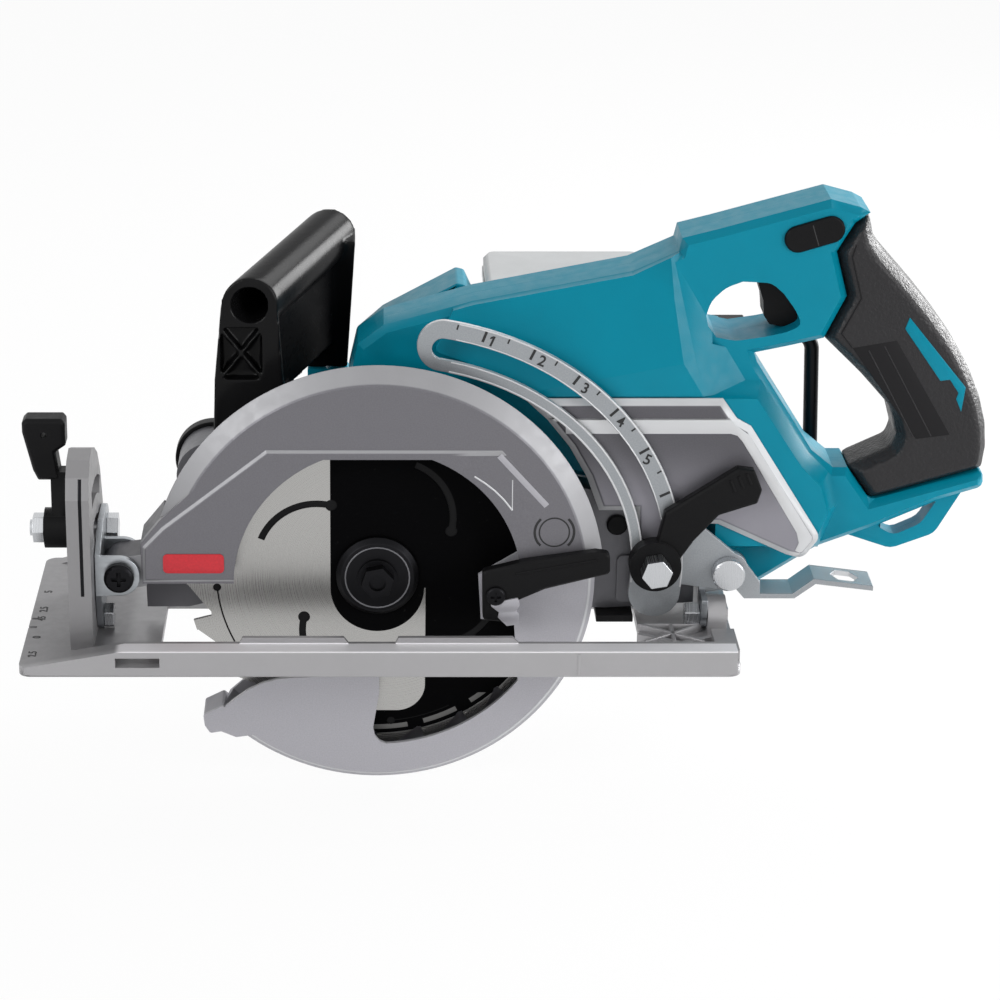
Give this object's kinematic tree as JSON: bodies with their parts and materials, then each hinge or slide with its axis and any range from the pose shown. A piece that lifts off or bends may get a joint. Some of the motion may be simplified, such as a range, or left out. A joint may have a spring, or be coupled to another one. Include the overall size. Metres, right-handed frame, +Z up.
{
  "type": "cordless circular saw",
  "caption": "Rear-handle cordless circular saw with a sprung lower guard, a tilting base with depth and bevel clamps, a geared motor and a slide-out battery.",
  "frame": {"origin": "on the sole of the base, straight below the arbor, in the blade's mid-plane", "axes": "+X back towards the rear handle, +Y from the blade to the motor, +Z up from the sole"},
  "size_m": [0.4686, 0.1786, 0.2848],
  "materials": {
    "case_metal": "silver-grey painted magnesium, satin",
    "guard_metal": "smooth die-cast alloy, satin",
    "base_metal": "bare die-cast magnesium, satin",
    "gear_metal": "die-cast alloy",
    "zinc": "zinc-plated pressed steel",
    "bolt_steel": "zinc-plated",
    "dark_steel": "blackened steel",
    "blade_steel": "brushed steel",
    "bearing_steel": "ground steel",
    "core_steel": "stacked laminations",
    "teal_plastic": "moulded plastic, satin",
    "black_plastic": "moulded plastic, semi-gloss",
    "black_matte": "moulded plastic, matte",
    "grip_rubber": "soft over-mould, matte",
    "battery_grey": "moulded plastic, matte",
    "cell": "sleeved cell"
  },
  "bodies": {
    "housing": {"blade_case": "case_metal", "bearing_retainer": "bolt_steel", "spindle_bearings": "bearing_steel", "gear_housing": "gear_metal", "motor_housing": "teal_plastic", "motor_end_cover": "black_matte", "stator": "core_steel", "motor_bearings": "bearing_steel", "frame_panel": "case_metal", "housing_left": "teal_plastic", "housing_right": "teal_plastic", "controller_cover": "teal_plastic", "controller": "black_matte", "belly_cover": "black_matte", "rear_grip": "grip_rubber", "front_handle": "black_plastic", "handle_screws": "bolt_steel", "housing_screws": "dark_steel", "dust_nozzle": "black_matte", "nozzle_ring": "black_matte", "switch_unit": "black_matte", "battery_terminal": "black_matte", "depth_clamp_bolt": "bolt_steel", "hook_bracket": "black_matte", "guard_spring": "bolt_steel", "depth_pivot_screws": "dark_steel"},
    "spindle": {"spindle": "bearing_steel", "drive_gear": "bearing_steel", "inner_flange": "dark_steel", "blade": "blade_steel", "outer_flange": "dark_steel", "blade_bolt": "dark_steel"},
    "rotor": {"rotor_shaft": "bearing_steel", "rotor_core": "core_steel", "fan": "black_matte", "pinion": "bearing_steel"},
    "lower_guard": {"lower_guard": "guard_metal", "guard_lever": "black_matte", "guard_lever_screw": "bolt_steel"},
    "swing": {"front_bracket": "zinc", "rear_bracket": "zinc", "link_pin": "bolt_steel", "bevel_clamp_bolt": "bolt_steel", "bevel_nut": "bolt_steel"},
    "base": {"base": "base_metal", "bevel_pivot_bolts": "dark_steel"},
    "depth_link": {"depth_link": "zinc"},
    "depth_lever": {"depth_lever": "black_matte"},
    "bevel_lever": {"bevel_lever": "black_matte"},
    "trigger": {"trigger": "black_matte"},
    "lock_off_button": {"lock_off_button": "black_matte"},
    "hook": {"hook": "dark_steel"},
    "battery": {"battery_case": "battery_grey", "battery_cells": "cell"},
    "battery_release_button": {"battery_release_button": "black_matte"},
    "shaft_lock_button": {"shaft_lock_button": "black_matte"}
  },
  "joints": [
    {"name": "blade_spin", "type": "hinge", "parent": "housing", "child": "spindle", "pos_m": [0, 0, 0.0325], "axis": [0, 1, 0], "continuous": true},
    {"name": "rotor_spin", "type": "hinge", "parent": "housing", "child": "rotor", "pos_m": [0.014, 0.06, 0.05261], "axis": [0, 1, 0], "continuous": true},
    {"name": "guard_swing", "type": "hinge", "parent": "housing", "child": "lower_guard", "pos_m": [0, 0, 0.0325], "axis": [0, -1, 0], "range_deg": [0, 115], "stiffness_Nm_per_rad": 0.15, "springref_deg": -114.59},
    {"name": "depth_swing", "type": "hinge", "parent": "housing", "child": "swing", "pos_m": [-0.124, 0, 0.036], "axis": [0, 1, 0], "range_deg": [0, 30]},
    {"name": "link_swing", "type": "hinge", "parent": "swing", "child": "depth_link", "pos_m": [0.17, 0.0035, 0.0327], "axis": [0, 1, 0], "range_deg": [-0.5, 18.8]},
    {"name": "bevel_tilt", "type": "hinge", "parent": "swing", "child": "base", "pos_m": [0, 0, 0.011], "axis": [-1, 0, 0], "range_deg": [0, 45]},
    {"name": "bevel_lever_turn", "type": "hinge", "parent": "swing", "child": "bevel_lever", "pos_m": [-0.155, 0.03, 0.045], "axis": [-1, 0, 0], "range_deg": [0, 60]},
    {"name": "depth_lever_turn", "type": "hinge", "parent": "housing", "child": "depth_lever", "pos_m": [0.134, -0.002, 0.0385], "axis": [0, -1, 0], "range_deg": [0, 40]},
    {"name": "trigger_pull", "type": "slide", "parent": "housing", "child": "trigger", "axis": [1, 0, 0], "range_m": [0, 0.007], "stiffness_N_per_m": 400, "springref_m": -0.005},
    {"name": "lock_off_push", "type": "slide", "parent": "housing", "child": "lock_off_button", "axis": [0, 1, 0], "range_m": [-0.003, 0.003], "stiffness_N_per_m": 400},
    {"name": "shaft_lock_push", "type": "slide", "parent": "housing", "child": "shaft_lock_button", "axis": [0, 1, 0], "range_m": [0, 0.002], "stiffness_N_per_m": 500, "springref_m": -0.003},
    {"name": "hook_fold", "type": "hinge", "parent": "housing", "child": "hook", "pos_m": [0.171, 0.067, 0.134], "axis": [1, 0, 0], "range_deg": [0, 90]},
    {"name": "battery_slide", "type": "slide", "parent": "housing", "child": "battery", "axis": [0, 0, 1], "range_m": [0, 0.08]},
    {"name": "battery_release_push", "type": "slide", "parent": "battery", "child": "battery_release_button", "axis": [0, 1, 0], "range_m": [0, 0.003], "stiffness_N_per_m": 400, "springref_m": -0.004}
  ],
  "couplings": [
    {"joint": "rotor_spin", "follows": "blade_spin", "ratio": -4.4444},
    {"joint": "link_swing", "follows": "depth_swing", "ratio": 0.61}
  ]
}
